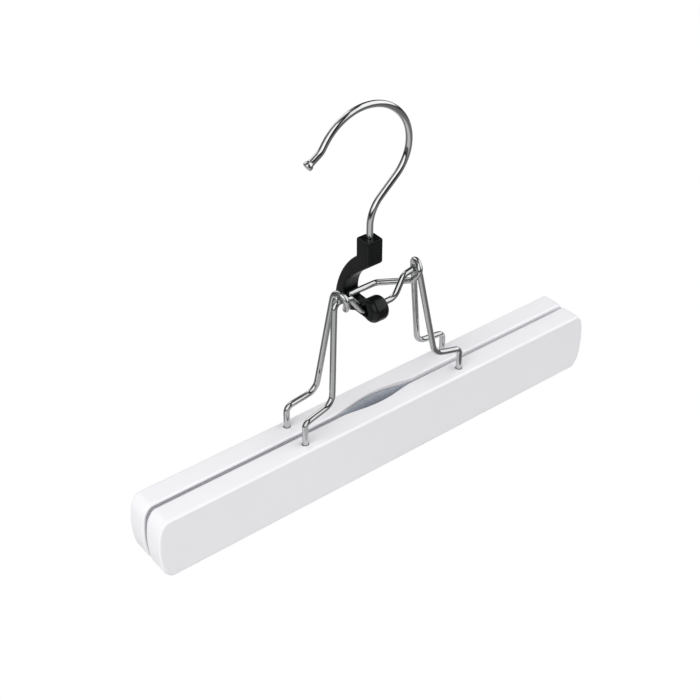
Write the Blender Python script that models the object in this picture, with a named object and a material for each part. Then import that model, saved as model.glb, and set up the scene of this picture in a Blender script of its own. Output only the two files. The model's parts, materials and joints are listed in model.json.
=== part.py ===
"""Two-bar clamp hanger with hinged wire frames, a cam latch and a swivel hook.

Two wooden bars lie face to face. Each stands on the feet of its own bent wire frame. The rear
frame's eyes run round the front frame's corners, so the bars open like a jaw. The front crossbar
passes through the latch's knob. As the latch stands up, its cam draws the rear crossbar in and
shuts the bars. The hook turns in the latch's block. Lengths are in metres and +Z is up.
"""

from math import acos, asin, atan2, copysign, cos, hypot, pi, radians, sin, tan

import bmesh
import bpy
from mathutils import Quaternion, Vector

# Bars. Their top is at height 0, their middle at X = 0, and they face each other across Y = 0.
BAR_LENGTH = 0.250
BAR_HEIGHT = 0.0318
BAR_THICKNESS = 0.0111
BAR_GAP = 0.0021
BAR_CORNER = 0.0058
BAR_END_BOW = 0.0025
BAR_EDGE = 0.0012
HOLLOW_LENGTH = 0.0540
HOLLOW_DEPTH = 0.0030

# Felt liners on the bars' inner faces.
LINER_THICKNESS = 0.0006
LINER_INSET = 0.0008

# Wire frames. A width is measured between centre lines, and a drop is measured from the hinge.
# The rear frame stands a little further along the bars than the front one.
FRAME_WIRE = 0.0029
PEG_LENGTH = 0.0150
KNEE_WIDTH = 0.0594
FRONT_FOOT_WIDTH = 0.0904
FRONT_FOOT_REACH = 0.0068
FRONT_POST_HEIGHT = 0.0113
FRONT_JOG_RISE = 0.0038
REAR_FOOT_WIDTH = 0.0920
REAR_FOOT_REACH = 0.0080
REAR_POST_HEIGHT = 0.0111
REAR_JOG_RISE = 0.0021
REAR_SHIFT = 0.0014
BEND_RADIUS = 0.0035
KNEE_RADIUS = 0.0068
HINGE_HEIGHT = 0.0626
CORNER_WIDTH = 0.0406
CORNER_RADIUS = 0.0036
SHOULDER_WIDTH = 0.0298
SHOULDER_DROP = 0.0008
FRONT_CROSSBAR_WIDTH = 0.0177
FRONT_CROSSBAR_DROP = 0.0098
FRONT_CROSSBAR_RADIUS = 0.0060
EYE_WIDTH = 0.0450
EYE_RADIUS = 0.0036
EYE_ADVANCE = 0.0029
EYE_SHIFT = 0.0009
EYE_END = radians(215)
EYE_LEAD = 0.0040
REAR_CROSSBAR_WIDTH = 0.0160
REAR_CROSSBAR_DROP = 0.0087
REAR_CROSSBAR_REACH = 0.0118

# Latch. Its block stands over the hinge, and its cam goes round the rear crossbar.
LATCH_WIDTH = 0.0086
LATCH_SHIFT = -0.0038
LATCH_EDGE = 0.0008
BLOCK_RISE = 0.0252
BLOCK_HEIGHT = 0.0118
BLOCK_BACK = 0.0094
BLOCK_DEPTH = 0.0079
BLOCK_REACH = 0.0008
ARM_THICKNESS = 0.0068
ARM_RADIUS = 0.0440
HEEL_RADIUS = 0.0035
HEEL_LENGTH = 0.0114
SILL_THICKNESS = 0.0040
SILL_ARCH = 0.0018
SILL_RAMP = 0.0036
SILL_DROP = 0.0010
POCKET_RADIUS = 0.0012
KNOB_RADIUS = 0.0058
KNOB_WIDTH = 0.0088
KNOB_ROUNDING = 0.0026
KNOB_REACH = 0.0023
KNOB_RISE = 0.0007
BORE_FLARE = 0.0011
BORE_FLARE_DEPTH = 0.0030

# Motion that the cam is cut for.
RELEASE_ANGLE = radians(110)
JAW_ANGLE = radians(27.5)
CAM_ANGLE = radians(48)

# Hook.
HOOK_WIRE = 0.0030
HOOK_HEAD = 0.0044
HOOK_HEAD_HEIGHT = 0.0020
HEAD_BORE_DEPTH = 0.0177
HOOK_GRIP = 0.0075
HOOK_STEM = 0.0056
HOOK_NECK_RADIUS = 0.0170
HOOK_NECK_TURN = radians(48.6)
HOOK_REACH = 0.0104
HOOK_SIDE_RADIUS = 0.0201
HOOK_SIDE_TURN = radians(80)
HOOK_CROWN_RADIUS = 0.0240
HOOK_CROWN_TURN = radians(116)
HOOK_FALL = 0.0013
HOOK_LIP_RADIUS = 0.0072
HOOK_LIP_TURN = radians(26)
HOOK_LIP = 0.0041
BUTTON = 0.0043
BUTTON_LENGTH = 0.0026
BUTTON_FLARE = 0.0012
BUTTON_EDGE = 0.0005

# Fits.
SEAT_GAP = 0.0003
RUNNING_GAP = 0.0003
CUT_MARGIN = 0.0020

# How finely round shapes are drawn.
SAME_PLACE = 0.000001
SMOOTH_TURN = radians(35)
ROUNDED_TURN = radians(40)
WIRE_ROUNDNESS = 6
BORE_SIDES = 28
KNOB_SIDES = 40
BEND_STEPS = 6
BAR_CORNER_STEPS = 8
BAR_END_STEPS = 10
BAR_EDGE_STEPS = 3
HOLLOW_STEPS = 18
CORNER_STEPS = 10
EYE_STEPS = 14
CAM_STEPS = 9
ARM_STEPS = 12
LATCH_BEND_STEPS = 4
LATCH_EDGE_STEPS = 2
KNOB_EDGE_STEPS = 5
FLARE_STEPS = 5
BUTTON_EDGE_STEPS = 4
HOOK_STEP = radians(7.5)
JOINT_MARK = 0.0100

# Places that follow from the sizes.
BAR_FACE = BAR_GAP / 2
FRONT_LEAN = FRONT_FOOT_REACH / (HINGE_HEIGHT - FRONT_POST_HEIGHT)
HINGE = Vector((0, 0, HINGE_HEIGHT))
LATCH_PIVOT = HINGE - Vector((0, FRONT_LEAN * FRONT_CROSSBAR_DROP, FRONT_CROSSBAR_DROP))
REAR_CROSSBAR = HINGE + Vector((0, REAR_CROSSBAR_REACH, -REAR_CROSSBAR_DROP))
SWIVEL = HINGE + Vector((LATCH_SHIFT, BLOCK_REACH, BLOCK_RISE))

# Finishes: colour, roughness, metallic value.
LACQUER = ((0.86, 0.86, 0.86), 0.35, 0.0)
FELT = ((0.50, 0.50, 0.53), 0.95, 0.0)
BRIGHT_STEEL = ((0.80, 0.80, 0.81), 0.12, 1.0)
BLACK_PLASTIC = ((0.012, 0.012, 0.013), 0.35, 0.0)


def spaced(first, last, count):
    """Evenly spaced values from first to last."""
    return [first + (last - first) * i / count for i in range(count + 1)]


def finish(name, look):
    """Material with the finish's colour, roughness and metallic value."""
    colour, roughness, metallic = look
    material = bpy.data.materials.new(name)
    material.use_nodes = True
    shader = material.node_tree.nodes["Principled BSDF"]
    shader.inputs["Base Color"].default_value = (*colour, 1)
    shader.inputs["Roughness"].default_value = roughness
    shader.inputs["Metallic"].default_value = metallic
    material.diffuse_color = (*colour, 1)
    return material


def link(name, data, carrier, look=None):
    """Object carried by an empty, with its origin at the empty's place."""
    item = bpy.data.objects.new(name, data)
    bpy.context.collection.objects.link(item)
    item.parent = carrier
    if look:
        data.materials.append(finish(name, look))
    return item


def joint(name, place, carrier=None):
    """Empty at a place measured from the bars' middle. The first one stands at the world's origin."""
    empty = bpy.data.objects.new(name, None)
    bpy.context.collection.objects.link(empty)
    empty.empty_display_size = JOINT_MARK
    empty["place"] = place
    if carrier:
        empty.parent = carrier
        empty.location = place - Vector(carrier["place"])
    return empty


def place_of(carrier):
    """Where an empty stands, measured from the bars' middle."""
    return Vector(carrier["place"])


def combine(item, tool, operation):
    """Boolean between an item and a tool, which is hidden."""
    tool.hide_render = True
    tool.display_type = "WIRE"
    step = item.modifiers.new(f"{operation.lower()} {tool.name}", "BOOLEAN")
    step.object = tool
    step.operation = operation


def soften(item, width, segments):
    """Round an item's hard edges."""
    step = item.modifiers.new("soft edges", "BEVEL")
    step.width = width
    step.segments = segments
    step.limit_method = "ANGLE"
    step.angle_limit = ROUNDED_TURN


def closed(name, shape, carrier, look):
    """Object from a closed bmesh, with its faces turned out."""
    bmesh.ops.recalc_face_normals(shape, faces=shape.faces)
    mesh = bpy.data.meshes.new(name)
    shape.to_mesh(mesh)
    shape.free()
    mesh.shade_smooth()
    mesh.set_sharp_from_angle(angle=SMOOTH_TURN)
    return link(name, mesh, carrier, look)


def prism(name, outline, push, carrier, look=None):
    """Solid from a flat outline and the vector that it is pushed along."""
    shape = bmesh.new()
    near = shape.faces.new([shape.verts.new(point - place_of(carrier)) for point in outline])
    pushed = bmesh.ops.extrude_face_region(shape, geom=[near])["geom"]
    far = [item for item in pushed if isinstance(item, bmesh.types.BMVert)]
    bmesh.ops.translate(shape, vec=push, verts=far)
    return closed(name, shape, carrier, look)


def lathe(name, profile, start, axis, sides, carrier):
    """Solid turned about an axis from a profile of (distance from the start, radius)."""
    shape = bmesh.new()
    foot = start - place_of(carrier)
    outward = axis.orthogonal().normalized()
    corners = [shape.verts.new(foot + axis * along + outward * radius) for along, radius in profile]
    edges = [shape.edges.new(pair) for pair in zip(corners, corners[1:])]
    turn = {"cent": foot, "axis": axis, "angle": 2 * pi, "steps": sides, "use_merge": True}
    bmesh.ops.spin(shape, geom=corners + edges, **turn)
    bmesh.ops.remove_doubles(shape, verts=shape.verts, dist=SAME_PLACE)
    return closed(name, shape, carrier, None)


def bore(item, radius, start, end, flare=0, flare_depth=0):
    """Cut a round hole between two points, with mouths that widen by a flare."""
    axis = (end - start).normalized()
    length = (end - start).length
    profile = [(0, 0), (0, radius + flare), (length, radius + flare), (length, 0)]
    if flare:
        profile[2:2] = [(flare_depth, radius), (length - flare_depth, radius)]
    tool = lathe(f"{item.name} bore", profile, start, axis, BORE_SIDES, item.parent)
    combine(item, tool, "DIFFERENCE")


def bent_path(nodes, steps=BEND_STEPS):
    """Points along nodes of (corner, bend radius), where a radius of 0 leaves the corner as it is."""
    points = [nodes[0][0]]
    for before, (corner, radius), after in zip(nodes, nodes[1:], nodes[2:]):
        if radius == 0:
            points.append(corner)
            continue
        back = (before[0] - corner).normalized()
        ahead = (after[0] - corner).normalized()
        turn = pi - back.angle(ahead)
        centre = corner + (back + ahead).normalized() * radius / cos(turn / 2)
        spoke = corner + back * radius * tan(turn / 2) - centre
        axis = ahead.cross(back)
        points += [centre + Quaternion(axis, angle) @ spoke for angle in spaced(0, turn, steps)]
    return points + [nodes[-1][0]]


def touch_angle(across, up, radius, side):
    """Angle at which a line from a point, given from a circle's centre, touches the circle."""
    return (atan2(up, across) + side * acos(radius / hypot(across, up))) % (2 * pi)


def wire(name, points, diameter, carrier, radii=()):
    """Round wire along points. Where radii are given, they are its thickness at each point."""
    curve = bpy.data.curves.new(name, "CURVE")
    curve.dimensions = "3D"
    curve.bevel_depth = diameter / 2
    curve.bevel_resolution = WIRE_ROUNDNESS
    curve.use_fill_caps = True
    spline = curve.splines.new("POLY")
    spline.points.add(len(points) - 1)
    for point, place in zip(spline.points, points):
        point.co = (*(place - place_of(carrier)), 1)
    for point, radius in zip(spline.points, radii):
        point.radius = radius / (diameter / 2)
    return link(name, curve, carrier, BRIGHT_STEEL)


def foot(end, side):
    """Where a foot of the front frame (side -1) or the rear one (side 1) enters its bar."""
    if side < 0:
        return Vector((end * FRONT_FOOT_WIDTH / 2, -FRONT_FOOT_REACH, 0))
    return Vector((end * REAR_FOOT_WIDTH / 2 + REAR_SHIFT, REAR_FOOT_REACH, 0))


def bar_outline(y, inset=0):
    """Long rounded outline of a bar at a place in Y, drawn in from the bar's edges by an inset."""
    half = BAR_LENGTH / 2 - inset
    top, bottom = -inset, inset - BAR_HEIGHT
    corner = BAR_CORNER - inset
    start = (Vector((0, y, top)), 0)
    nodes = [start]
    for end, first, last in ((-half, top, bottom), (half, bottom, top)):
        for z in spaced(first, last, BAR_END_STEPS):
            if z in (first, last) or corner < top - z < top - bottom - corner:
                nodes.append((Vector((end, y, z)), corner if z in (first, last) else 0))
    outline = bent_path([*nodes, start], BAR_CORNER_STEPS)[:-1]
    for point in outline:
        height = (2 * point.z + BAR_HEIGHT) / BAR_HEIGHT
        round_share = max(0, abs(point.x) - half + corner) / corner
        point.x -= copysign(BAR_END_BOW * height**2 * round_share, point.x)
    return outline


def hollow_face(side, ahead):
    """Points along a bar's inner face, which is hollowed as a wave, moved ahead of the wood."""
    points = []
    for phase in spaced(-pi, pi, HOLLOW_STEPS):
        depth = HOLLOW_DEPTH * (1 + cos(phase)) / 2
        points.append(Vector((HOLLOW_LENGTH * phase / (2 * pi), side * (BAR_FACE + depth - ahead), 0)))
    return points


def make_bar(name, side, carrier):
    """Wooden bar with rounded ends, a hollow in its inner face and a socket for each foot."""
    push = Vector((0, side * BAR_THICKNESS, 0))
    bar = prism(name, bar_outline(side * BAR_FACE), push, carrier, LACQUER)
    soften(bar, BAR_EDGE, BAR_EDGE_STEPS)
    down = Vector((0, 0, -BAR_HEIGHT - CUT_MARGIN))
    up = Vector((0, 0, BAR_HEIGHT + 2 * CUT_MARGIN))
    face = hollow_face(side, 0)
    clear = Vector((0, side * CUT_MARGIN, 0))
    outline = [point + down for point in [*face, face[-1] - clear, face[0] - clear]]
    combine(bar, prism(f"{name} hollow", outline, up, carrier), "DIFFERENCE")
    for end in (-1, 1):
        mouth = foot(end, side) + Vector((0, 0, CUT_MARGIN))
        floor = mouth - Vector((0, 0, CUT_MARGIN + PEG_LENGTH + SEAT_GAP))
        bore(bar, FRAME_WIRE / 2 + SEAT_GAP, mouth, floor)


def make_liner(name, side, carrier):
    """Felt strip that follows its bar's inner face and stops short of the bar's edges."""
    half = Vector((BAR_LENGTH / 2, 0, 0))
    ends = Vector((0, side * (BAR_FACE - SEAT_GAP), 0))
    back = [ends - half, *hollow_face(side, SEAT_GAP), ends + half]
    felt = Vector((0, side * LINER_THICKNESS, 0))
    down = Vector((0, 0, -BAR_HEIGHT))
    outline = [point + down for point in [*back, *[point - felt for point in reversed(back)]]]
    liner = prism(name, outline, -down, carrier, FELT)
    cover = Vector((0, side * (BAR_FACE + HOLLOW_DEPTH + 2 * CUT_MARGIN), 0))
    blank = prism(f"{name} blank", bar_outline(-side * CUT_MARGIN, LINER_INSET), cover, carrier)
    combine(liner, blank, "INTERSECT")


def lower_leg(end, side, lean, post, jog):
    """Nodes of a frame's peg, post and jog, up to the knee where its leaning leg starts."""
    base = foot(end, side)
    knee_x = end * KNEE_WIDTH / 2 + (REAR_SHIFT if side > 0 else 0)
    knee = Vector((knee_x, base.y - side * lean * jog, post + jog))
    return [
        (base - Vector((0, 0, PEG_LENGTH)), 0),
        (base + Vector((0, 0, post)), BEND_RADIUS),
        (knee, KNEE_RADIUS),
    ]


def front_side(end):
    """Nodes of the front frame from a foot to the crossbar, over a corner whose top is the hinge."""
    def on_frame(x, drop):
        return HINGE + Vector((end * x, -FRONT_LEAN * drop, -drop))

    across = CORNER_WIDTH / 2
    knee_drop = HINGE_HEIGHT - FRONT_POST_HEIGHT - FRONT_JOG_RISE - CORNER_RADIUS
    shoulder_rise = CORNER_RADIUS - SHOULDER_DROP
    first = touch_angle(KNEE_WIDTH / 2 - across, -knee_drop, CORNER_RADIUS, 1)
    last = touch_angle(SHOULDER_WIDTH / 2 - across, shoulder_rise, CORNER_RADIUS, -1)
    nodes = lower_leg(end, -1, FRONT_LEAN, FRONT_POST_HEIGHT, FRONT_JOG_RISE)
    for angle in spaced(first, last % (2 * pi), CORNER_STEPS):
        drop = CORNER_RADIUS * (1 - sin(angle))
        nodes.append((on_frame(across + CORNER_RADIUS * cos(angle), drop), 0))
    nodes.append((on_frame(SHOULDER_WIDTH / 2, SHOULDER_DROP), BEND_RADIUS))
    return nodes + [(on_frame(FRONT_CROSSBAR_WIDTH / 2, FRONT_CROSSBAR_DROP), FRONT_CROSSBAR_RADIUS)]


def rear_side(end):
    """Nodes of the rear frame from a foot to the crossbar, by the eye round the front corner."""
    first = touch_angle(REAR_FOOT_REACH, REAR_POST_HEIGHT - HINGE_HEIGHT, EYE_RADIUS, 1)
    touch_y, touch_z = EYE_RADIUS * cos(first), HINGE_HEIGHT + EYE_RADIUS * sin(first)
    lean = (REAR_FOOT_REACH - touch_y) / (touch_z - REAR_POST_HEIGHT)
    nodes = lower_leg(end, 1, lean, REAR_POST_HEIGHT, REAR_JOG_RISE)
    for along in spaced(0, 1, EYE_STEPS):
        angle = first + (EYE_END - first) * along
        x = end * (EYE_WIDTH / 2 - EYE_ADVANCE * along) + EYE_SHIFT
        nodes.append((HINGE + Vector((x, EYE_RADIUS * cos(angle), EYE_RADIUS * sin(angle))), 0))
    inboard = -end * EYE_ADVANCE / (EYE_RADIUS * (EYE_END - first))
    lead = Vector((inboard, -sin(EYE_END), cos(EYE_END))) * EYE_LEAD
    nodes.append((nodes[-1][0] + lead, BEND_RADIUS))
    bend = REAR_CROSSBAR + Vector((end * REAR_CROSSBAR_WIDTH / 2 + EYE_SHIFT, 0, 0))
    return nodes + [(bend, BEND_RADIUS)]


def make_frame(name, side_nodes, carrier):
    """Wire frame in one length from foot to foot."""
    points = bent_path(side_nodes(1) + side_nodes(-1)[::-1])
    return wire(name, points, FRAME_WIRE, carrier)


def cam_face():
    """Cam of the latch: where the rear crossbar's far side lies as the latch is released."""
    points = []
    reach = FRAME_WIRE / 2 + RUNNING_GAP
    for release in spaced(0, CAM_ANGLE, CAM_STEPS):
        opened = Quaternion((1, 0, 0), release * JAW_ANGLE / RELEASE_ANGLE) @ (REAR_CROSSBAR - HINGE)
        arm = Quaternion((1, 0, 0), release) @ (HINGE + opened - LATCH_PIVOT)
        points.append(LATCH_PIVOT + arm * (1 + reach / arm.length))
    return points


def arc_between(start, end, radius, count):
    """Points of the arc from start to end that turns right as seen along +X."""
    chord = end - start
    half_turn = asin(chord.length / 2 / radius)
    inward = Vector((0, -chord.z, chord.y)).normalized()
    centre = (start + end) / 2 - inward * radius * cos(half_turn)
    angles = spaced(0, -2 * half_turn, count)
    return [centre + Quaternion((1, 0, 0), angle) @ (start - centre) for angle in angles]


def latch_outline():
    """Side outline of the latch without its knob: block, arm, heel, sill, pocket and cam."""
    front, back = BLOCK_REACH - BLOCK_DEPTH / 2, BLOCK_REACH + BLOCK_DEPTH / 2
    top = HINGE_HEIGHT + BLOCK_RISE
    cam = cam_face()
    sill_top = REAR_CROSSBAR.z - FRAME_WIRE / 2 - SILL_DROP
    sill_bottom = sill_top - SILL_THICKNESS
    heel = Vector((0, cam[0].y + ARM_THICKNESS, sill_bottom))
    arm = arc_between(Vector((0, back, top - BLOCK_BACK)), heel, ARM_RADIUS, ARM_STEPS)
    hip = heel - Vector((0, HEEL_LENGTH, 0))
    arch = Vector((0, -SILL_RAMP, SILL_ARCH))
    inside_knob = LATCH_PIVOT.y - KNOB_REACH
    nodes = [(Vector((0, front, top - BLOCK_HEIGHT)), 0)]
    nodes += [(Vector((0, front, top)), 0), (Vector((0, back, top)), 0)]
    nodes += [(point, 0) for point in arm[:-2]] + [(heel, HEEL_RADIUS)]
    nodes += [(hip, HEEL_RADIUS), (hip + arch, HEEL_RADIUS)]
    nodes += [(Vector((0, inside_knob, sill_bottom + SILL_ARCH)), 0), (Vector((0, inside_knob, sill_top)), 0)]
    nodes += [(Vector((0, cam[0].y, sill_top)), POCKET_RADIUS)]
    nodes += [(point, 0) for point in cam]
    return bent_path([*nodes, nodes[0]], LATCH_BEND_STEPS)[:-1]


def make_latch(carrier):
    """Moulded latch with its knob, the bore for the front crossbar and the hook's stepped bore."""
    width = Vector((LATCH_WIDTH, 0, 0))
    left = Vector((LATCH_SHIFT, 0, 0)) - width / 2
    latch = prism("latch", [left + point for point in latch_outline()], width, carrier, BLACK_PLASTIC)
    soften(latch, LATCH_EDGE, LATCH_EDGE_STEPS)
    across = Vector((KNOB_WIDTH / 2, 0, 0))
    middle = LATCH_PIVOT + Vector((LATCH_SHIFT, -KNOB_REACH, KNOB_RISE))
    corners = [(0, 0), (0, KNOB_RADIUS), (KNOB_WIDTH, KNOB_RADIUS), (KNOB_WIDTH, 0)]
    rounding = [0, KNOB_ROUNDING, KNOB_ROUNDING, 0]
    nodes = [(Vector((*corner, 0)), radius) for corner, radius in zip(corners, rounding)]
    profile = [(point.x, point.y) for point in bent_path(nodes, KNOB_EDGE_STEPS)]
    knob = lathe("knob", profile, middle - across, Vector((1, 0, 0)), KNOB_SIDES, carrier)
    combine(latch, knob, "UNION")
    clear = Vector((CUT_MARGIN, 0, 0))
    hole = LATCH_PIVOT + Vector((LATCH_SHIFT, 0, 0))
    flare_slope = BORE_FLARE / BORE_FLARE_DEPTH
    flare = BORE_FLARE + flare_slope * CUT_MARGIN
    depth = BORE_FLARE_DEPTH + CUT_MARGIN
    round_wire = FRAME_WIRE / 2 + RUNNING_GAP
    bore(latch, round_wire, hole - across - clear, hole + across + clear, flare, depth)
    up = Vector((0, 0, 1))
    shoulder = SWIVEL + up * (RUNNING_GAP - HOOK_GRIP)
    bore(latch, HOOK_WIRE / 2 + RUNNING_GAP, SWIVEL + up * CUT_MARGIN, shoulder - up * CUT_MARGIN)
    bore(latch, HOOK_HEAD / 2 + RUNNING_GAP, shoulder, SWIVEL - up * HEAD_BORE_DEPTH)


def turned_path(start, heading, moves):
    """Path in an XZ plane from moves of (radius, turn), left turns positive, or (0, length)."""
    points = [start]
    for radius, amount in moves:
        ahead = Vector((cos(heading), 0, sin(heading)))
        if radius == 0:
            points.append(points[-1] + ahead * amount)
            continue
        side = 1 if amount > 0 else -1
        centre = points[-1] + Vector((-ahead.z, 0, ahead.x)) * radius * side
        spoke = points[-1] - centre
        turns = spaced(0, amount, round(abs(amount) / HOOK_STEP))
        points += [centre + Quaternion((0, -1, 0), turn) @ spoke for turn in turns[1:]]
        heading += amount
    return points


def hook_path():
    """Centre line of the hook from its head to its lip, with a point at the top of its crown."""
    to_top = pi / 2 + HOOK_NECK_TURN - HOOK_SIDE_TURN
    moves = [
        (0, HOOK_HEAD_HEIGHT),
        (0, HOOK_GRIP + HOOK_STEM),
        (HOOK_NECK_RADIUS, -HOOK_NECK_TURN),
        (0, HOOK_REACH),
        (HOOK_SIDE_RADIUS, HOOK_SIDE_TURN),
        (HOOK_CROWN_RADIUS, to_top),
        (HOOK_CROWN_RADIUS, HOOK_CROWN_TURN - to_top),
        (0, HOOK_FALL),
        (HOOK_LIP_RADIUS, -HOOK_LIP_TURN),
        (0, HOOK_LIP),
    ]
    return turned_path(SWIVEL - Vector((0, 0, HOOK_GRIP + HOOK_HEAD_HEIGHT)), pi / 2, moves)


def make_hook(carrier):
    """Wire hook with an upset head at its foot and a rounded button at its lip."""
    path = hook_path()
    thin, head, button = HOOK_WIRE / 2, HOOK_HEAD / 2, BUTTON / 2
    chamfer = (path[1] - path[0]) * (head - thin) / HOOK_HEAD_HEIGHT
    points = [path[0], path[1] - chamfer, *path[1:]]
    radii = [head, head] + [thin] * (len(path) - 1)
    ahead = (path[-1] - path[-2]).normalized()
    for phase in spaced(0, pi, FLARE_STEPS)[1:]:
        points.append(path[-1] + ahead * BUTTON_FLARE * phase / pi)
        radii.append(thin + (button - thin) * (1 - cos(phase)) / 2)
    for turn in spaced(0, pi / 2, BUTTON_EDGE_STEPS):
        points.append(path[-1] + ahead * (BUTTON_LENGTH - BUTTON_EDGE * (1 - sin(turn))))
        radii.append(button - BUTTON_EDGE * (1 - cos(turn)))
    wire("hook", points, HOOK_WIRE, carrier, radii)


def main():
    """Clear the scene and build the hanger's bodies, each on its joint."""
    for item in list(bpy.data.objects):
        bpy.data.objects.remove(item)
    crown = max(hook_path(), key=lambda point: point.z)
    hanging = joint("hanging point", crown - Vector((0, 0, HOOK_WIRE / 2)))
    swivel = joint("swivel", SWIVEL, hanging)
    pivot = joint("latch pivot", LATCH_PIVOT, swivel)
    hinge = joint("clamp hinge", HINGE, pivot)
    make_hook(hanging)
    make_latch(swivel)
    make_frame("front_frame", front_side, pivot)
    make_bar("front_bar", -1, pivot)
    make_liner("front_liner", -1, pivot)
    make_frame("rear_frame", rear_side, hinge)
    make_bar("rear_bar", 1, hinge)
    make_liner("rear_liner", 1, hinge)
    bpy.context.view_layer.update()


main()
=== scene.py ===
# %% [markdown]
# # A clamp hanger with two lacquered bars
#
# The hanger clamps the top of a hair extension between two wooden bars. Each bar stands on the
# feet of a bent wire frame, the two frames are hinged on each other, and a moulded latch with a
# swivel hook holds them shut. The solids come from the CAD model, in metres, with the bars along X
# and the hook up along Z. This file makes the pieces that are seen: it rounds them finely, gives
# them their finishes and lights them.
#
# The box round the solids is kept straight after loading.
# A piece that is made later moves with a body of the mechanism, so the record's list of bodies is
# turned into a look-up from each solid to its body.

# %% Load the imported model
import json
from math import radians

import bmesh
import bpy
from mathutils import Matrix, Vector


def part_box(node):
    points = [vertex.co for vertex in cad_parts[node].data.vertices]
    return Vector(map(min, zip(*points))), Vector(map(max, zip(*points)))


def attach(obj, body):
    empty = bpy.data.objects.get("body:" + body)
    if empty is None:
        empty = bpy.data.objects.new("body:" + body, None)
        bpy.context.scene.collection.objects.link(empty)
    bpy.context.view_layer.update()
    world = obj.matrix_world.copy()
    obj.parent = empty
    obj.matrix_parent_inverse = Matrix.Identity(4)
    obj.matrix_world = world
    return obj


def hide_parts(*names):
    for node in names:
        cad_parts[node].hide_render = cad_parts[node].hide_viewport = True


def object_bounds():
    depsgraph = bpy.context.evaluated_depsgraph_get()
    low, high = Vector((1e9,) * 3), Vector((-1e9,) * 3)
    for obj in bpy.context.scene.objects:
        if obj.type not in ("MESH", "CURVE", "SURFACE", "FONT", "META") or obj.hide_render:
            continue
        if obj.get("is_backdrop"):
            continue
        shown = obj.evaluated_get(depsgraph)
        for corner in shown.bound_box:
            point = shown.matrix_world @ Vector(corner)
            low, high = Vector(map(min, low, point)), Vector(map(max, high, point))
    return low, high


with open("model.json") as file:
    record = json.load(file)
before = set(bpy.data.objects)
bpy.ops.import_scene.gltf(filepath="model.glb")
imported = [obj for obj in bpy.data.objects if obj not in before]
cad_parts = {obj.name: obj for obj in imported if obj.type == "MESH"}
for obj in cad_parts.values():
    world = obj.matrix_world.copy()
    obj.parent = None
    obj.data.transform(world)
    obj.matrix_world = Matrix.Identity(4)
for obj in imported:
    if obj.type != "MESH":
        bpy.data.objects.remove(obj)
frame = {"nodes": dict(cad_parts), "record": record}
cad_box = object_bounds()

body_of = {node: body for body, nodes in frame["record"]["behaviour"]["bodies"].items() for node in nodes}
for node, body in sorted(body_of.items()):
    print(f"{node} rides on {body}")

# %% [markdown]
# ## The camera
#
# The photograph looks down on the hanger from its front left. A camera could be moved by eye until
# the picture looks right, but then its lens stays a guess. This one was fitted instead, to the bars'
# long edges, the wires' feet and the latch, so that they all land where the photograph has them. Its
# place is measured from the middle of the bars' top. A camera looks along its own -Z, so it is first
# raised to look along +Y, then tipped down and turned.

# %% Place the camera
AZIMUTH = radians(-37.73)
ELEVATION = radians(36.87)
LENS = 69.3
SENSOR = 36.0
FROM_BARS = Vector((-0.3067, -0.3771, 0.3916))
NEAREST_SEEN = 0.01

front_low, front_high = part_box("front_bar")
rear_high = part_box("rear_bar")[1]
bars_top = Vector(((front_low.x + rear_high.x) / 2, (front_low.y + rear_high.y) / 2, front_high.z))

camera_data = bpy.data.cameras.new("camera")
camera_data.lens = LENS
camera_data.sensor_width = SENSOR
camera_data.clip_start = NEAREST_SEEN
camera = bpy.data.objects.new("camera", camera_data)
camera.location = bars_top + FROM_BARS
camera.rotation_euler = (radians(90) - ELEVATION, 0, AZIMUTH)
bpy.context.scene.collection.objects.link(camera)
bpy.context.scene.camera = camera
print(f"the camera stands {FROM_BARS.length:.3f} m from the top of the bars")

# %% [markdown]
# ## Finer copies of the solids
#
# A CAD solid arrives as flat triangles, and chrome shows each of them. The solids themselves stay
# as they are. Every piece is a copy of one, so it keeps the solid's size and place, and it then
# stands for the solid. A copy starts as a bmesh whose corners are welded, because triangles that
# only touch can't be smoothed together. The shading normals that came with the solid are dropped,
# so that Blender works out new ones from the finer shape.

# %% Copy a solid's mesh
WELD = 1e-6


def welded(node):
    """The node's mesh with its corners joined, as a bmesh."""
    shape = bmesh.new()
    shape.from_mesh(frame["nodes"][node].data)
    bmesh.ops.remove_doubles(shape, verts=shape.verts, dist=WELD)
    return shape


print(f"{sum(len(frame['nodes'][node].data.polygons) for node in body_of)} triangles in the solids")

# %% [markdown]
# ## Pieces that ride on a body
#
# Each copy becomes an object of its own. It rides on the body that its solid belongs to, so a joint
# that moves the solid moves the piece, and it replaces the solid, which is then hidden.

# %% Turn a copy into a piece
def piece(name, shape, node, finish):
    """Object from a bmesh that stands for a CAD node and rides on the node's body."""
    mesh = bpy.data.meshes.new(name)
    shape.to_mesh(mesh)
    shape.free()
    loaded_normals = mesh.attributes.get("custom_normal")
    if loaded_normals:
        mesh.attributes.remove(loaded_normals)
    mesh.materials.append(finish)
    mesh.shade_smooth()
    item = bpy.data.objects.new(name, mesh)
    bpy.context.scene.collection.objects.link(item)
    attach(item, body_of[node])
    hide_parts(node)
    print(f"{name}: {len(mesh.polygons)} faces for {node}")
    return item


# %% [markdown]
# ## Shader sums written as Python
#
# A finish is a small program of nodes. Wired up by hand, even a short sum takes many lines, and it
# no longer reads as a sum. The class below holds one node's output, and its operators add Math
# nodes, so that `1 - mask` in Python becomes a Subtract node. A Math node works on single values.
# Colours are mixed by another node, further down.

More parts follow.
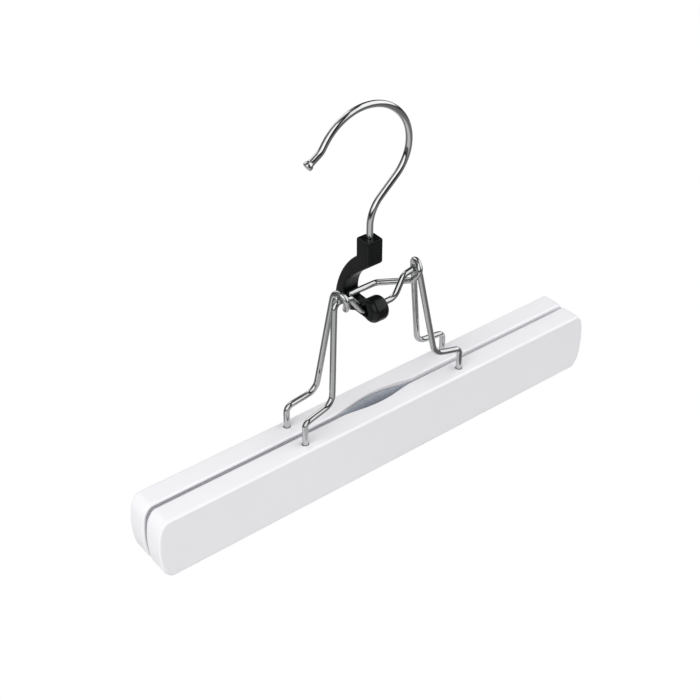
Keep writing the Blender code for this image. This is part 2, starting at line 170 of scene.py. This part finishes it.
# %% A signal that sums can be written with
class Signal:
    """An output socket. Sums on it add Math nodes."""

    def __init__(self, program, socket):
        self.program = program
        self.socket = socket

    def __add__(self, other):
        return self.program.math("ADD", self, other)

    def __sub__(self, other):
        return self.program.math("SUBTRACT", self, other)

    def __rsub__(self, other):
        return self.program.math("SUBTRACT", other, self)

    def __mul__(self, other):
        return self.program.math("MULTIPLY", self, other)

    def __abs__(self):
        return self.program.math("ABSOLUTE", self)

    __radd__ = __add__
    __rmul__ = __mul__


# %% [markdown]
# ## A program of nodes
#
# Materials and the world both keep their nodes in a tree, so one class serves both. Its `add` makes
# any kind of node. It sets what the node does first, because that can change which inputs the node
# has, and then gives the inputs their values or links. A colour ramp comes with two stops, so the
# ones between them are added before all are set.

# %% A program, to which nodes are added
class Program:
    """The nodes of a material or of the world."""

    def __init__(self, block):
        self.block = block
        self.block.use_nodes = True
        self.nodes = self.block.node_tree.nodes
        self.links = self.block.node_tree.links

    def set(self, socket, value):
        """Give an input socket a value or a link."""
        if isinstance(value, Signal):
            self.links.new(value.socket, socket)
        else:
            socket.default_value = value

    def add(self, kind, settings=None, inputs=None, output=0):
        """Add a node with its settings and inputs, and return one of its outputs."""
        node = self.nodes.new(kind)
        for name, value in (settings or {}).items():
            if name == "stops":
                for place, colour in value[1:-1]:
                    node.color_ramp.elements.new(place)
                for stop, (place, colour) in zip(node.color_ramp.elements, value):
                    stop.position = place
                    stop.color = (*colour, 1)
            else:
                setattr(node, name, value)
        for name, value in (inputs or {}).items():
            self.set(node.inputs[name], value)
        return Signal(self, node.outputs[output])

    def math(self, operation, *values):
        """A sum of one or two values, by the operation's name."""
        return self.add("ShaderNodeMath", {"operation": operation}, dict(enumerate(values)))


# %% [markdown]
# ## Masks and mixtures
#
# Most finishes need the same few tools: one coordinate of a place, a soft step that turns a value
# into a mask, a mixture of two colours, a ramp of colours, and a question to the Light Path node
# about which kind of ray has arrived. Each is a function with a plain name, so that a finish reads
# as a recipe. Reflections need one more, a grey level that changes with the compass angle.

# %% Tools for masks and mixtures
class Recipe(Program):
    """A program with the tools that finishes and lights share."""

    def along(self, axis, place):
        """One coordinate of a place or direction."""
        return self.add("ShaderNodeSeparateXYZ", inputs={0: place}, output="XYZ".index(axis))

    def step(self, value, low, high):
        """0 below low, 1 above high, and smooth between."""
        return self.add(
            "ShaderNodeMapRange",
            {"interpolation_type": "SMOOTHSTEP"},
            {"Value": value, "From Min": low, "From Max": high},
        )

    def blend(self, share, first, second):
        """Mixture of two colours, each a signal or its red, green and blue."""
        first, second = (each if isinstance(each, Signal) else (*each, 1) for each in (first, second))
        return self.add(
            "ShaderNodeMix",
            {"data_type": "RGBA"},
            {"Factor": share, 6: first, 7: second},
            output=2,
        )

    def ramp(self, value, stops):
        """Colour from a value."""
        return self.add("ShaderNodeValToRGB", {"stops": stops}, {"Fac": value})

    def rays(self, kind):
        """1 where the ray that asks is of a kind, such as Camera."""
        return self.add("ShaderNodeLightPath", output=f"Is {kind} Ray")

    def around(self, place, lights):
        """Grey level by the compass angle of a place, from a list of angles in degrees and levels."""
        angle = self.math("ARCTAN2", self.along("Y", place), self.along("X", place))
        stops = [(0.5 + degrees / 360, (level,) * 3) for degrees, level in lights]
        return self.ramp(angle * (1 / radians(360)) + 0.5, stops)


# %% [markdown]
# ## Finishes
#
# A finish feeds the Principled shader that every new material has. A value that is the same all
# over is set on the shader's own input, and only what varies over the surface is linked. Places
# are measured in metres on the piece itself, so grain has its true size and moves with the piece.
# The same goes for the way a surface looks. The Geometry node's normal belongs to the world, and
# would change when the clamp opens, so the normal comes from Texture Coordinate.

# %% A finish for a surface
class Finish(Recipe):
    """A material, with tools for patterns on its surface."""

    def __init__(self, name, constants):
        super().__init__(bpy.data.materials.new(name))
        self.shader = self.nodes["Principled BSDF"]
        for socket, value in constants.items():
            self.shader.inputs[socket].default_value = value

    def drive(self, socket, value):
        """Feed one of the surface shader's inputs."""
        self.set(self.shader.inputs[socket], value)

    def place(self):
        """Where a point of the surface is on the piece, in metres."""
        return self.add("ShaderNodeTexCoord", output="Object")

    def facing(self):
        """Which way the surface looks, seen from the piece."""
        return self.add("ShaderNodeTexCoord", output="Normal")

    def noise(self, grain, detail=2.0, roughness=0.5, stretch=(1, 1, 1)):
        """Noise whose grain is a size in metres, drawn out by a stretch along each axis."""
        scale = tuple(1 / (grain * along) for along in stretch)
        spread = self.add("ShaderNodeMapping", inputs={"Vector": self.place(), "Scale": scale})
        return self.add(
            "ShaderNodeTexNoise",
            inputs={"Vector": spread, "Scale": 1.0, "Detail": detail, "Roughness": roughness},
        )

    def bump(self, height, depth):
        """Tilt the surface by a height, where 1 is a depth in metres."""
        tilt = self.add("ShaderNodeBump", inputs={"Height": height, "Distance": depth, "Strength": 1.0})
        self.drive("Normal", tilt)


# %% [markdown]
# ## White lacquer
#
# The bars are sprayed with an opaque white lacquer. It hides the wood's colour, but it isn't glass:
# it has a fine orange peel, and the long grain under it still shows as a very shallow ripple. One
# flat white would look like card. So a wide, faint cloud varies the colour, and a noise drawn out
# along the bars stands for the grain, which takes some of the shine as well. Grain and peel
# together lift the surface by a few hundredths of a millimetre.

# %% Make the lacquer
LACQUER_DARK = (0.832, 0.822, 0.848)
LACQUER_PALE = (0.862, 0.852, 0.878)
GRAIN = 0.0011
GRAIN_RUN = 26
PEEL = 0.0007
CLOUD = 0.030
RIPPLE = 0.000035
SATIN = 0.34
GRAIN_DULLS = 0.10


def white_lacquer():
    """Opaque white film with orange peel over long grain."""
    finish = Finish("white_lacquer", {"Specular IOR Level": 0.3, "Coat Weight": 0.06, "Coat Roughness": 0.3})
    grain = finish.noise(GRAIN, detail=3.0, roughness=0.6, stretch=(GRAIN_RUN, 1, 1))
    peel = finish.noise(PEEL, detail=1.0)
    cloud = finish.noise(CLOUD)
    finish.drive("Base Color", finish.blend(cloud * 0.6 + grain * 0.4, LACQUER_DARK, LACQUER_PALE))
    finish.drive("Roughness", SATIN + grain * GRAIN_DULLS)
    finish.bump(grain * 0.6 + peel * 0.4, RIPPLE)
    return finish.block


lacquer = white_lacquer()
print(f"{lacquer.name}: {len(lacquer.node_tree.nodes)} nodes")

# %% [markdown]
# ## The felt's face and edge
#
# The liners are a thin needled felt. From above, with the hanger shut, most of what shows is their
# cut edges, side by side along the middle of the bars. The edges' colour holds painted shade: they are
# painted darker than the face, darkest where the two strips meet, as the shadow in the gap between
# them, and darker again where the strips part at the hollow, as the shade in the recess. All of
# this depends on how far a point is from the plane where the strips part, so that plane is measured
# from the solids' boxes.

# %% Find where the liners part
PARTING = (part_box("front_liner")[1].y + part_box("rear_liner")[0].y) / 2
# Painted shade on the felt's cut edges: its darkest grey, and where it fades out from the seam and sets in
# at the hollow.
SEAM_PAINTED_SHADE_FADES = (0.0004, 0.0013)
HOLLOW_PAINTED_SHADE_STARTS = (0.0014, 0.0019)
EDGE_PAINTED_SHADE = (0.19, 0.19, 0.195)
EDGE_PALE = (0.46, 0.46, 0.47)
EDGE_FIBRE = (0.35, 0.35, 0.36)
ACROSS = (0.2, 0.6)
print(f"the liners part at {1000 * PARTING:.2f} mm")


def cut_edge_with_painted_shade(finish, fibres):
    """Colour of the felt's cut edge, painted dark as shade where the strips meet and in the hollow."""
    depth = abs(finish.along("Y", finish.place()) - PARTING)
    # painted shade: pale falls to 0 where the strips meet and where they part at the hollow
    pale = finish.step(depth, *SEAM_PAINTED_SHADE_FADES) * (1 - finish.step(depth, *HOLLOW_PAINTED_SHADE_STARTS))
    return finish.blend(fibres * 0.5, finish.blend(pale, EDGE_PAINTED_SHADE, EDGE_PALE), EDGE_FIBRE)


# %% [markdown]
# ## Grey felt
#
# Seen close, felt is a mat of fibres in several greys with pale ones among them. Woven threads
# would need a pattern, but felt has none, so two noises at fibre size, one stretched each way, make
# the mat, and the same mat lifts the surface. The pale fibres are the peaks of a third noise. A
# point belongs to the face if its surface looks along the strip's Y, and otherwise to the cut edge.

# %% Make the felt
FIBRE_GREYS = [
    (0.32, (0.330, 0.360, 0.415)),
    (0.50, (0.480, 0.520, 0.595)),
    (0.68, (0.640, 0.680, 0.745)),
]
FIBRE = 0.00030
CROSSING_FIBRE = 0.00026
FIBRE_RUN = 3
FLECK = (0.86, 0.89, 0.93)
FLECK_SIZE = 0.00045
FLECK_PEAKS = (0.62, 0.67)
PILE = 0.00025
FELT_ROUGHNESS = 0.88
FIBRE_ROUGHENS = 0.10


def grey_felt():
    """Needled felt with pale flecks and a cut edge painted darker as shade."""
    finish = Finish("grey_felt", {"Sheen Weight": 0.35, "Sheen Roughness": 0.6})
    mat = finish.noise(FIBRE, detail=3.0, roughness=0.7, stretch=(FIBRE_RUN, 1, 1))
    crossing = finish.noise(CROSSING_FIBRE, detail=3.0, roughness=0.7, stretch=(1, 1, FIBRE_RUN))
    fibres = mat * 0.5 + crossing * 0.5
    pale = finish.step(finish.noise(FLECK_SIZE, detail=1.0), *FLECK_PEAKS)
    face = finish.blend(pale, finish.ramp(fibres, FIBRE_GREYS), FLECK)
    across = finish.along("Y", finish.facing())
    cut = 1 - finish.step(across * across, *ACROSS)
    # painted shade: the cut edge takes the edge colour that is painted dark as shade
    finish.drive("Base Color", finish.blend(cut, face, cut_edge_with_painted_shade(finish, fibres)))
    finish.drive("Roughness", FELT_ROUGHNESS + fibres * FIBRE_ROUGHENS)
    finish.bump(fibres, PILE)
    return finish.block


felt = grey_felt()
print(f"{felt.name}: {len(felt.node_tree.nodes)} nodes")

# %% [markdown]
# ## Plated wire
#
# The frames and the hook are steel wire with a bright plating. Plating is almost a mirror, so it
# gets its look from what stands round it, and the shader needs little: metal, a low roughness and a
# light grey. Drawn wire is never perfectly even, so a slow noise makes its reflections waver. The
# hook's plating is brighter and smoother than the frames', so one recipe makes two finishes.

# %% Make the two platings
WAVER = 0.0060
HAZE = 0.0009
WIRE_RELIEF = 0.00012


def plated_wire(name, dull, bright, roughness, haziness):
    """Plated steel, from its darkest and brightest grey, its roughness and how much haze adds to it."""
    finish = Finish(name, {"Metallic": 1.0})
    waver = finish.noise(WAVER)
    haze = finish.noise(HAZE, detail=3.0, roughness=0.65)
    finish.drive("Base Color", finish.blend(haze, dull, bright))
    finish.drive("Roughness", roughness + haze * haziness)
    finish.bump(waver, WIRE_RELIEF)
    print(f"{name}: {len(finish.nodes)} nodes")
    return finish.block


hook_plating = plated_wire(
    "polished_plating",
    dull=(0.66, 0.665, 0.67),
    bright=(0.72, 0.725, 0.725),
    roughness=0.02,
    haziness=0.04,
)
frame_plating = plated_wire(
    "dull_plating",
    dull=(0.52, 0.525, 0.53),
    bright=(0.64, 0.645, 0.645),
    roughness=0.04,
    haziness=0.06,
)

# %% [markdown]
# ## Black moulding
#
# The latch is injection moulded. Its black goes all through it, and its surface copies the mould:
# finely grained, and shinier in some places than in others, as the plastic flowed. The colour hardly
# varies, so nearly all of the look is in the roughness.

# %% Make the moulded plastic
BLACK_DEEP = (0.003, 0.0035, 0.0035)
BLACK_PALE = (0.006, 0.0065, 0.007)
MOULD_GRAIN = 0.00022
FLOW = 0.0050
MOULD_RELIEF = 0.00003
MOULD_ROUGHNESS = 0.10
FLOW_DULLS = 0.16
MOULD_GRAIN_DULLS = 0.10


def black_moulding():
    """Black plastic with a fine grain and uneven shine."""
    finish = Finish("black_moulding", {"Specular IOR Level": 0.28})
    grain = finish.noise(MOULD_GRAIN, roughness=0.6)
    flow = finish.noise(FLOW)
    finish.drive("Base Color", finish.blend(flow, BLACK_DEEP, BLACK_PALE))
    finish.drive("Roughness", MOULD_ROUGHNESS + flow * FLOW_DULLS + grain * MOULD_GRAIN_DULLS)
    finish.bump(grain, MOULD_RELIEF)
    return finish.block


moulding = black_moulding()
print(f"{moulding.name}: {len(moulding.node_tree.nodes)} nodes")

# %% [markdown]
# ## Bars, liners and latch
#
# These have flat faces that meet in small rounded edges. Plain smooth shading would bend the light
# over the flats, as if they bulged, and subdivision would shrink the corners. So the triangles in
# one plane are joined into whole faces, and a Weighted Normal modifier lets the largest face at
# each corner say which way the surface looks. The flats then look flat, and the narrow faces of the
# rounding take up the turn. Edges sharper than a rounding stay sharp.

# %% Make the flat-sided pieces
SAME_PLANE = radians(0.4)
SHARP_EDGE = radians(42)
LARGEST_FACE_RULES = 100


def flat_sided(name, node, finish):
    """Copy of a solid with whole faces, and shading that turns only over its rounded edges."""
    shape = welded(node)
    bmesh.ops.dissolve_limit(shape, angle_limit=SAME_PLANE, verts=shape.verts, edges=shape.edges)
    item = piece(name, shape, node, finish)
    item.data.set_sharp_from_angle(angle=SHARP_EDGE)
    shading = item.modifiers.new("shading", "WEIGHTED_NORMAL")
    shading.keep_sharp = True
    shading.weight = LARGEST_FACE_RULES
    return item


for end in ("front", "rear"):
    flat_sided(f"{end}_bar_wood", f"{end}_bar", lacquer)
    flat_sided(f"{end}_felt_strip", f"{end}_liner", felt)
flat_sided("latch_moulding", "latch", moulding)

# %% [markdown]
# ## Wires
#
# A wire is a tube of flat panels. A curve with a round bevel would be rounder, but it would have to
# be drawn along the same route a second time. The copy already has the route. The two triangles of
# each panel are joined into a four-sided face, and two levels of subdivision round the tube and its
# bends. Subdivision pulls a tube in towards its middle, by a share of its radius that depends only
# on its number of sides, so the surface is first pushed out by as much.

# %% Make the wires
SIDES_SHRINK = 0.0256
PANEL_FOLD = radians(60)
ANY_SHAPE = radians(180)
ROUNDING_LEVELS = 2


def round_wire(name, node, radius, plating):
    """Copy of a wire with four-sided panels, rounded by subdivision."""
    shape = welded(node)
    bmesh.ops.join_triangles(
        shape,
        faces=shape.faces,
        angle_face_threshold=PANEL_FOLD,
        angle_shape_threshold=ANY_SHAPE,
    )
    shape.normal_update()
    for corner in shape.verts:
        corner.co += corner.normal * radius * SIDES_SHRINK
    item = piece(name, shape, node, plating)
    rounding = item.modifiers.new("rounding", "SUBSURF")
    rounding.levels = ROUNDING_LEVELS
    rounding.render_levels = ROUNDING_LEVELS


FRAME_RADIUS = 0.00145
HOOK_RADIUS = 0.0015
round_wire("front_wire_frame", "front_frame", FRAME_RADIUS, frame_plating)
round_wire("rear_wire_frame", "rear_frame", FRAME_RADIUS, frame_plating)
round_wire("hook_wire", "hook", HOOK_RADIUS, hook_plating)

# %% [markdown]
# ## The floor
#
# The hanger is held just clear of a plain white floor. The floor is one large square, because all
# of its look comes from its finish. It is marked as stage, because it isn't part of the object.

# %% Lay the floor
FLOOR_HALF = 3.0
CLEAR_OF_BARS = 0.0002
floor_height = cad_box[0].z - CLEAR_OF_BARS

shape = bmesh.new()
bmesh.ops.create_grid(shape, x_segments=1, y_segments=1, size=FLOOR_HALF)
floor_mesh = bpy.data.meshes.new("floor")
shape.to_mesh(floor_mesh)
shape.free()
floor = bpy.data.objects.new("floor", floor_mesh)
floor.location = (0, 0, floor_height)
bpy.context.scene.collection.objects.link(floor)
floor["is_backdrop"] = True
print(f"floor at {floor_height:.4f} m")

# %% [markdown]
# ## What the floor shows to whom
#
# Bright plating on an even white ground turns into dull grey tubes. It needs light and dark parts
# round it, and the picture needs a pure white ground. Both can be had, because a shader can ask
# which kind of ray has reached it. A camera ray finds a white glow. A glossy ray finds panels of
# light by compass angle close to the hanger, and almost nothing further off. Any other ray finds
# plain pale paper, so the light that bounces off the floor is true. A tenth of the paper is left in
# the first two, and with it a tenth of the hanger's shadow.

# %% Give the floor its paper and its glow
PAPER = (0.60, 0.60, 0.60, 1)
PAPER_ROUGHNESS = 0.9
WHITE = (1, 1, 1)
FAR_LEVEL = (0.04, 0.04, 0.04)
PANELS_FADE = (0.45, 0.85)
GLOW = 1.05
GLOW_SHARE = 0.9
FLOOR_PANELS = [
    (-180, 0.45), (-170, 0.62), (-100, 0.60), (-82, 0.25), (-66, 0.13), (-25, 0.13), (0, 0.30),
    (25, 0.60), (90, 0.50), (112, 0.30), (130, 0.12), (165, 0.12), (180, 0.45),
]

paper = Finish("white_paper", {"Roughness": PAPER_ROUGHNESS, "Base Color": PAPER})
away = paper.add("ShaderNodeVectorMath", {"operation": "LENGTH"}, {0: paper.place()}, output=1)
gleam = paper.blend(paper.step(away, *PANELS_FADE), paper.around(paper.place(), FLOOR_PANELS), FAR_LEVEL)
seen = paper.blend(paper.rays("Camera"), gleam, WHITE)
glow = paper.add("ShaderNodeEmission", inputs={"Color": seen, "Strength": GLOW})
share = paper.rays("Camera") * GLOW_SHARE + paper.rays("Glossy") * GLOW_SHARE
lit = Signal(paper, paper.shader.outputs[0])
mixed = paper.add("ShaderNodeMixShader", inputs={0: share, 1: lit, 2: glow})
paper.links.new(mixed.socket, paper.nodes["Material Output"].inputs["Surface"])
floor_mesh.materials.append(paper.block)
print(f"{paper.block.name}: {len(paper.nodes)} nodes")

# %% [markdown]
# ## The dome
#
# The world is a dome of light, white to the camera. To everything else it is a ring of bright
# panels with dark gaps between them, as round a photographer's table. The gaps put the long black
# lines into the plating. Round a thin wire, a reflection takes in the whole room, so the panels'
# places matter more than their levels: they were moved until the dark lines lay on the wires where
# the photograph has them. The ring starts just over a dark horizon and ends in a dim zenith.

# %% Light the dome
RING_PANELS = [
    (-180, 0.80), (-172, 1.40), (-124, 1.40), (-115, 0.10), (-104, 0.01), (-86, 0.02), (-78, 1.20),
    (-10, 1.40), (14, 1.20), (24, 0.55), (34, 0.01), (60, 0.02), (72, 0.40), (78, 1.40), (98, 1.30),
    (108, 0.35), (120, 0.07), (146, 0.20), (168, 0.35), (180, 0.80),
]
HORIZON = (0.02, 0.02, 0.02)
ZENITH = (0.09, 0.09, 0.09)
RING_STARTS = (0.02, 0.20)
RING_ENDS = (0.88, 0.94)

world = bpy.data.worlds.new("dome")
bpy.context.scene.world = world
sky = Recipe(world)
heading = sky.add("ShaderNodeTexCoord", output="Generated")
height = sky.along("Z", heading)
ring = sky.blend(sky.step(height, *RING_STARTS), HORIZON, sky.around(heading, RING_PANELS))
dome = sky.blend(sky.step(height, *RING_ENDS), ring, ZENITH)
background = sky.nodes["Background"]
sky.set(background.inputs["Color"], sky.blend(sky.rays("Camera"), dome, WHITE))
background.inputs["Strength"].default_value = 1.0
print(f"the dome: {len(RING_PANELS)} stops, {len(sky.nodes)} nodes")

# %% [markdown]
# ## The lamps
#
# The bars are matt next to the plating, and take their tones from the lamps: a strong one on the
# left, a weaker one on the right and a faint one above. Each is a large square, so that its light
# falls off gently along the bars, and glossy rays don't see it, so the plating reflects the dome
# alone. The powers follow from renders with one lamp lit at a time. Light adds up, so those show
# how much of each lamp makes the bars' faces as bright as in the photograph.

# %% Hang the lamps
middle = (cad_box[0] + cad_box[1]) / 2


def soft_lamp(name, place, size, power):
    """Square lamp at a place, turned towards the middle of the hanger."""
    light = bpy.data.lights.new(name, "AREA")
    light.shape = "SQUARE"
    light.size = size
    light.energy = power
    lamp = bpy.data.objects.new(name, light)
    lamp.location = place
    lamp.visible_glossy = False
    lamp.rotation_euler = (middle - Vector(place)).to_track_quat("-Z", "Y").to_euler()
    bpy.context.scene.collection.objects.link(lamp)
    print(f"{name} lamp: {power} W from {(middle - Vector(place)).length:.2f} m away")


soft_lamp("key", (-2.30, -0.40, 1.05), size=2.2, power=40.0)
soft_lamp("fill", (2.10, -1.10, 1.05), size=2.2, power=15.5)
soft_lamp("top", (0.20, 0.00, 1.80), size=1.2, power=6.0)

# %% [markdown]
# ## The view and the sizes
#
# The Standard view shows a colour as it was written, where Blender's usual one would dull the
# whites. The last box is that of the pieces made here, and it is printed. It should agree with the
# box of the solids: a finer surface must not make the hanger bigger.

# %% Set the view and write the sizes
bpy.context.scene.view_settings.view_transform = "Standard"
seen_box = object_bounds()
for name, low, high in zip("XYZ", seen_box[0], seen_box[1]):
    print(f"{name}: {1000 * low:.1f} to {1000 * high:.1f} mm")
